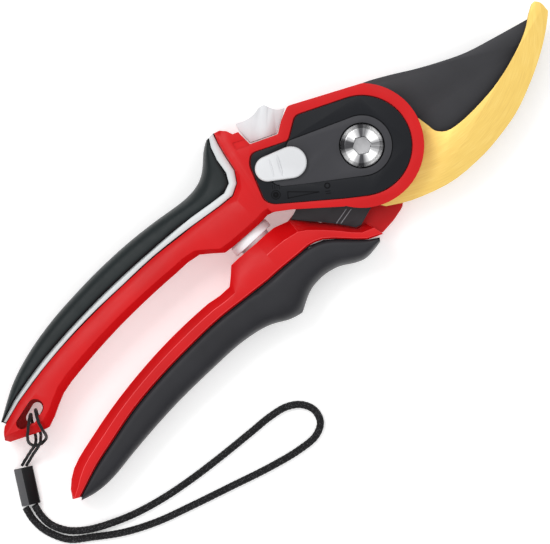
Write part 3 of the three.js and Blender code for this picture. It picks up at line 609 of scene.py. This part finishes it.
def make_counter_blade():
    shape = solid_copy("counter_blade")
    for face in shape.faces:
        # Side faces take the dark brown: painted shade along the blade's edges.
        face.material_index = 1 if abs(face.normal.z) < 0.5 else 0
    piece = new_piece("counter_blade_forging", shape, [GOLD_FACE, GOLD_SIDE_SHADE])
    round_edges(piece, 0.4 * MM, 2, 35, edge_material=1)
    stands_for(piece, UPPER, "gold_blade", "counter_blade")


SOCKET_REACH = 3.1 * MM                            # the socket lies within this of the axis
SOCKET_FLOOR, SOCKET_MOUTH = 18 * MM, 22.4 * MM


def make_pivot_bolt():
    """The plated bolt, with its hex socket left darker than its face."""
    shape = solid_copy("pivot_bolt")
    for face in shape.faces:
        centre = face.calc_center_median()
        inside = centre.xy.length < SOCKET_REACH and SOCKET_FLOOR < centre.z < SOCKET_MOUTH
        face.material_index = 1 if inside else 0
    piece = new_piece("pivot_bolt_turning", shape, [CHROME, SOCKET_STEEL])
    round_edges(piece, 0.2 * MM)
    stands_for(piece, UPPER, "chrome", "pivot_bolt")


SPRING_WIRE = 1.2 * MM
OPEN_TURNS = 7
STEPS_A_TURN = 28


def make_return_spring():
    """The coil between the two handles."""
    low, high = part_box("return_spring")
    centre = Vector(((low.x + high.x) / 2, low.y + SPRING_WIRE / 2, (low.z + high.z) / 2))
    reach = (high.x - low.x - SPRING_WIRE) / 2
    shape = bmesh.new()
    ring = bmesh.ops.create_circle(shape, segments=10, radius=SPRING_WIRE / 2)["verts"]
    bmesh.ops.translate(shape, verts=ring, vec=centre + Vector((reach, 0, 0)))
    end = ring + list({edge for vert in ring for edge in vert.link_edges})
    closed = SPRING_WIRE * 1.02 / STEPS_A_TURN
    free = (high.y - low.y - SPRING_WIRE - 2 * STEPS_A_TURN * closed) / (OPEN_TURNS * STEPS_A_TURN)
    # A closed coil lies flat on each seat, and the open ones share the pitch between them.
    for turns, climb in ((1, closed), (OPEN_TURNS, free), (1, closed)):
        end = bmesh.ops.spin(shape, geom=end, cent=centre, axis=(0, 1, 0), dvec=(0, climb, 0),
                             angle=math.tau * turns, steps=STEPS_A_TURN * turns)["geom_last"]
    open_edges = [edge for edge in shape.edges if edge.is_boundary]
    bmesh.ops.holes_fill(shape, edges=open_edges)
    bmesh.ops.recalc_face_normals(shape, faces=shape.faces)
    piece = new_piece("return_spring_coil", shape, [SPRING_STEEL])
    piece.data.shade_smooth()
    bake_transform(piece)
    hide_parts("return_spring")


# ---------------------------------------------------------------- controls and markings

SLIDER_ENDS = (((-25.4, 14.1), 3.8), ((-19.0, 10.8), 4.8))
SLIDER_BOTTOM, SLIDER_TOP = 21.2, 22.7


def make_width_slider():
    """A low rounded paddle with two grip ridges across it, on its neck."""
    shape = bmesh.new()
    crown = []
    for (x, y), radius in SLIDER_ENDS:
        made = bmesh.ops.create_cone(shape, cap_ends=True, segments=48, radius1=radius * MM,
                                     radius2=radius * MM,
                                     depth=(SLIDER_TOP - SLIDER_BOTTOM) * MM)["verts"]
        middle = Vector((x, y, (SLIDER_BOTTOM + SLIDER_TOP) / 2)) * MM
        bmesh.ops.translate(shape, verts=made, vec=middle)
        crown += made
    hull = bmesh.ops.convex_hull(shape, input=crown)
    spare = {item for item in hull["geom_interior"] + hull["geom_unused"]
             if isinstance(item, bmesh.types.BMVert)}
    bmesh.ops.delete(shape, geom=list(spare), context="VERTS")
    bmesh.ops.dissolve_limit(shape, angle_limit=math.radians(2), verts=shape.verts,
                             edges=shape.edges)
    brow = [edge for edge in shape.edges
            if all(vert.co.z > (SLIDER_TOP - 0.1) * MM for vert in edge.verts)]
    bmesh.ops.bevel(shape, geom=brow, offset=0.7 * MM, affect="EDGES", segments=4,
                    profile=0.5, material=-1)
    (ax, ay), (bx, by) = (end for end, _ in SLIDER_ENDS)
    heading = math.atan2(by - ay, bx - ax)
    for share, length, width, height in ((0.17, 6.0, 0.5, 0.22), (0.52, 6.8, 0.8, 0.4)):
        place = Vector((ax + (bx - ax) * share, ay + (by - ay) * share, SLIDER_TOP)) * MM
        ridge = bmesh.ops.create_uvsphere(shape, u_segments=20, v_segments=10,
                                          radius=0.5 * MM)["verts"]
        bmesh.ops.scale(shape, verts=ridge, vec=(width, length, height * 2))
        bmesh.ops.rotate(shape, verts=ridge, cent=(0, 0, 0),
                         matrix=Matrix.Rotation(heading, 3, "Z"))
        bmesh.ops.translate(shape, verts=ridge, vec=place)
    neck = bmesh.ops.create_cone(shape, cap_ends=True, segments=24, radius1=1.5 * MM,
                                 radius2=1.5 * MM, depth=6 * MM)["verts"]
    bmesh.ops.translate(shape, verts=neck, vec=Vector((-22.6, 12.4, 18.4)) * MM)
    piece = new_piece("width_slider_paddle", shape, [WHITE_BUTTON])
    piece.data.shade_smooth()
    piece.data.set_sharp_from_angle(angle=math.radians(38))
    stands_for(piece, WIDTH_STOP, "white_button", "width_slider")


LOCK_RIDGE = Vector((-13.4, 29.0, 0)) * MM         # where the thumb ridge starts
RIDGE_ACROSS = Vector((0.731, -0.682, 0))
RIDGE_CUTS = (-3.2, -0.9, 0.9, 3.2)                # where its sides start and end, mm
RIDGE_TOP, RIDGE_FOOT = 0.9, 0.15                  # how much each rises, mm


def make_lock_button():
    """The safety catch, with a raised thumb ridge down its middle."""
    shape = solid_copy("lock_button")
    for distance in RIDGE_CUTS:
        bmesh.ops.bisect_plane(shape, geom=shape.verts[:] + shape.edges[:] + shape.faces[:],
                               dist=1e-7, plane_no=RIDGE_ACROSS,
                               plane_co=LOCK_RIDGE + RIDGE_ACROSS * distance * MM)
    top = max(vert.co.z for vert in shape.verts)
    for vert in shape.verts:
        if vert.co.z > top - 0.01 * MM:
            away = abs((vert.co - LOCK_RIDGE).dot(RIDGE_ACROSS)) / MM
            lift = RIDGE_TOP if away < 1 else RIDGE_FOOT if away < 3.3 else 0
            vert.co.z += lift * MM
    piece = new_piece("lock_button_catch", shape, [LOCK_GREY])
    round_edges(piece, 0.7 * MM, 4, 30)
    stands_for(piece, LOCK, "grey_plastic", "lock_button")


def on_head(x, y):
    """A place on the head, given in millimetres from the pivot."""
    return Vector((x, y, 0)) * MM


def add_bar(shape, start, end, width, bottom, top):
    """A thin raised bar from start to end."""
    bar = bmesh.ops.create_cube(shape, size=1)["verts"]
    run = end - start
    bmesh.ops.scale(shape, verts=bar, vec=(run.length + width, width, top - bottom))
    bmesh.ops.rotate(shape, verts=bar, cent=(0, 0, 0),
                     matrix=Matrix.Rotation(math.atan2(run.y, run.x), 3, "Z"))
    middle = (start + end) / 2
    bmesh.ops.translate(shape, verts=bar,
                        vec=Vector((middle.x, middle.y, (bottom + top) / 2)))


RING_STEPS = 48


def add_ring(shape, place, radius, width, bottom, top):
    """A thin raised ring, spun from a bar's section."""
    section = bmesh.ops.create_grid(shape, x_segments=1, y_segments=1, size=0.5)["verts"]
    bmesh.ops.scale(shape, verts=section, vec=(width, top - bottom, 1))
    bmesh.ops.rotate(shape, verts=section, cent=(0, 0, 0),
                     matrix=Matrix.Rotation(math.pi / 2, 3, "X"))
    centre = Vector((place.x, place.y, (bottom + top) / 2))
    bmesh.ops.translate(shape, verts=section, vec=centre + Vector((radius, 0, 0)))
    face = section[0].link_faces[0]
    edges = list(face.edges)
    bmesh.ops.delete(shape, geom=[face], context="FACES_ONLY")
    bmesh.ops.spin(shape, geom=section + edges, cent=centre, axis=(0, 0, 1),
                   angle=math.tau, steps=RING_STEPS, use_merge=True)


SCALE_WEDGE = ((-25.67, 4.98), (-18.89, -1.38), (-26.89, 3.5))
NARROW_BARS = (-27.61, 9.67), (0.48, -0.45), (-0.71, -0.98), 4     # first, step, reach, number
NARROW_DOT = (-28.87, 6.74)
WIDE_RING = (-15.75, -1.72)
WIDE_BARS = (((-17.29, -2.66), (-16.2, -3.43)), ((-17.61, -3.27), (-16.52, -4.04)))
TANG_LINES = (((-16.35, -10.76), (-21.22, -11.8)), ((-15.28, -11.76), (-20.31, -12.77)))


def make_cover_marks():
    """Moulded scale on the cover: a wedge from narrow to wide, with plain marks at its ends."""
    low, high = 20.9 * MM, 21.07 * MM
    shape = bmesh.new()
    wedge = [on_head(*place) for place in SCALE_WEDGE]
    for start, end in zip(wedge, wedge[1:] + wedge[:1]):
        add_bar(shape, start, end, 0.24 * MM, low, high)
    first, step, reach, number = NARROW_BARS
    for i in range(number):
        start = on_head(*first) + on_head(*step) * i
        add_bar(shape, start, start + on_head(*reach), 0.2 * MM, low, high)
    add_ring(shape, on_head(*NARROW_DOT), 0.55 * MM, 0.7 * MM, low, high)
    add_ring(shape, on_head(*NARROW_DOT), 1.3 * MM, 0.25 * MM, low, high)
    add_ring(shape, on_head(*WIDE_RING), 0.75 * MM, 0.35 * MM, low, high)
    for start, end in WIDE_BARS:
        add_bar(shape, on_head(*start), on_head(*end), 0.22 * MM, low, high)
    bmesh.ops.recalc_face_normals(shape, faces=shape.faces)
    piece = new_piece("cover_scale_marks", shape, [MARK_AND_SHADE_BLACK])
    stands_for(piece, UPPER, "cover_black")


def make_bolt_shadow_ring():
    """A black ring of painted shade that fills the cover's hole around the bolt head."""
    shape = bmesh.new()
    add_ring(shape, Vector((0, 0, 0)), 6.82 * MM, 0.5 * MM, 19.2 * MM, 20.3 * MM)
    bmesh.ops.recalc_face_normals(shape, faces=shape.faces)
    piece = new_piece("bolt_shadow_ring", shape, [MARK_AND_SHADE_BLACK])
    stands_for(piece, UPPER, "cover_black")


def make_tang_marks():
    """Two fine lighter grey lines across the blade's tang."""
    low, high = 10.6 * MM, 10.74 * MM
    shape = bmesh.new()
    for start, end in TANG_LINES:
        add_bar(shape, on_head(*start), on_head(*end), 0.2 * MM, low, high)
    piece = new_piece("tang_lines", shape, [TANG_GREY])
    stands_for(piece, LOWER, "black_blade")


# ---------------------------------------------------------------- floor and lights

def make_floor():
    shape = bmesh.new()
    bmesh.ops.create_grid(shape, x_segments=1, y_segments=1, size=3)
    finish = Finish("floor_white", (0.9, 0.9, 0.9), 0.6)
    finish.set(Emission_Color=(1, 1, 1, 1), Emission_Strength=0.3)
    floor = new_piece("floor", shape, [finish.material])


def area_light(name, place, aim, size, power, color=(1, 1, 1)):
    data = bpy.data.lights.new(name, "AREA")
    data.shape = "RECTANGLE"
    data.size, data.size_y = size
    data.energy = power
    data.color = color
    light = bpy.data.objects.new(name, data)
    light.location = place
    light.rotation_euler = (Vector(aim) - Vector(place)).to_track_quat("-Z", "Y").to_euler()
    bpy.context.collection.objects.link(light)


def make_lights():
    aim = (-0.045, -0.01, 0.01)
    area_light("key", (-0.12, 0.5, 0.85), aim, (0.5, 0.3), 2.9)
    area_light("side", (0.75, -0.35, 0.5), aim, (0.6, 0.25), 1.4)
    area_light("low_left", (-0.75, -0.25, 0.45), aim, (0.6, 0.25), 1.05)
    world = bpy.data.worlds.new("studio")
    world.use_nodes = True
    tree = world.node_tree
    background = tree.nodes["Background"]
    background.inputs["Strength"].default_value = 1.02
    # A broad soft light overhead in a dim room, so that every slope is darker than a flat top.
    place = tree.nodes.new("ShaderNodeTexCoord")
    parts = tree.nodes.new("ShaderNodeSeparateXYZ")
    ramp = tree.nodes.new("ShaderNodeValToRGB")
    stops = ramp.color_ramp.elements
    stops[0].position, stops[0].color = 0.4, (0.12, 0.12, 0.12, 1)
    stops[1].position, stops[1].color = 0.85, (1.1, 1.1, 1.1, 1)
    tree.links.new(place.outputs["Generated"], parts.inputs["Vector"])
    tree.links.new(parts.outputs["Z"], ramp.inputs["Fac"])
    tree.links.new(ramp.outputs["Color"], background.inputs["Color"])
    bpy.context.scene.world = world
    bpy.context.scene.view_settings.view_transform = "Standard"


# ---------------------------------------------------------------- the scene

make_camera()
make_sleeve()
make_wrist_cord()
make_lanyard_string()

refined("upper_handle_body", UPPER, "red_plastic", RED, 0.5 * MM, edge=RED_EDGE_HIGHLIGHT)
refined("lower_handle_body", LOWER, "red_plastic", RED, 0.5 * MM, edge=RED_EDGE_HIGHLIGHT)
refined("upper_trim_strip", UPPER, "white_trim", WHITE_TRIM, 0.2 * MM)
smooth_skin("upper_grip", UPPER, "soft_grip_upper", GRIP_UPPER)
smooth_skin("lower_grip", LOWER, "soft_grip_lower", GRIP_LOWER)
refined("head_cover", UPPER, "cover_black", COVER_BLACK, 0.3 * MM)
refined("cover_panel", UPPER, "panel_grey", PANEL_GREY, 0.2 * MM)
make_shade_seam("lower_grip_shade_seam", LOWER, "soft_grip_lower", "lower_grip", "lower_handle_body")
make_shade_seam("trim_shade_seam", UPPER, "soft_grip_upper", "upper_trim_strip", "upper_handle_body")
make_shade_seam("upper_grip_shade_seam", UPPER, "soft_grip_upper", "upper_grip", "upper_trim_strip")
make_counter_blade()
refined("cutting_blade", LOWER, "black_blade", BLACK_BLADE, 0.15 * MM, 2)
make_pivot_bolt()
refined("pivot_nut", UPPER, "zinc_steel", ZINC, 0.3 * MM)
refined("wave_washer", UPPER, "zinc_steel", ZINC, 0.1 * MM)
refined("pivot_washer", UPPER, "zinc_steel", ZINC, 0.15 * MM)
refined("pivot_bushing", UPPER, "bronze", BRONZE, 0.15 * MM)
refined("spring_cup", LOWER, "grey_plastic", GREY_PLASTIC, 0.3 * MM)
refined("spring_seat", UPPER, "grey_plastic", GREY_PLASTIC, 0.15 * MM)
make_width_slider()
make_lock_button()
make_cover_marks()
make_bolt_shadow_ring()
make_tang_marks()
refined("lock_plate", LOCK, "zinc_steel", ZINC, 0.1 * MM)
for screw in ("counter_blade_screw_1", "counter_blade_screw_2"):
    refined(screw, UPPER, "zinc_steel", ZINC, 0.15 * MM)
for screw in ("blade_screw_1", "blade_screw_2"):
    refined(screw, LOWER, "black_blade", BLACK_BLADE, 0.15 * MM)
make_return_spring()

make_floor()
make_lights()
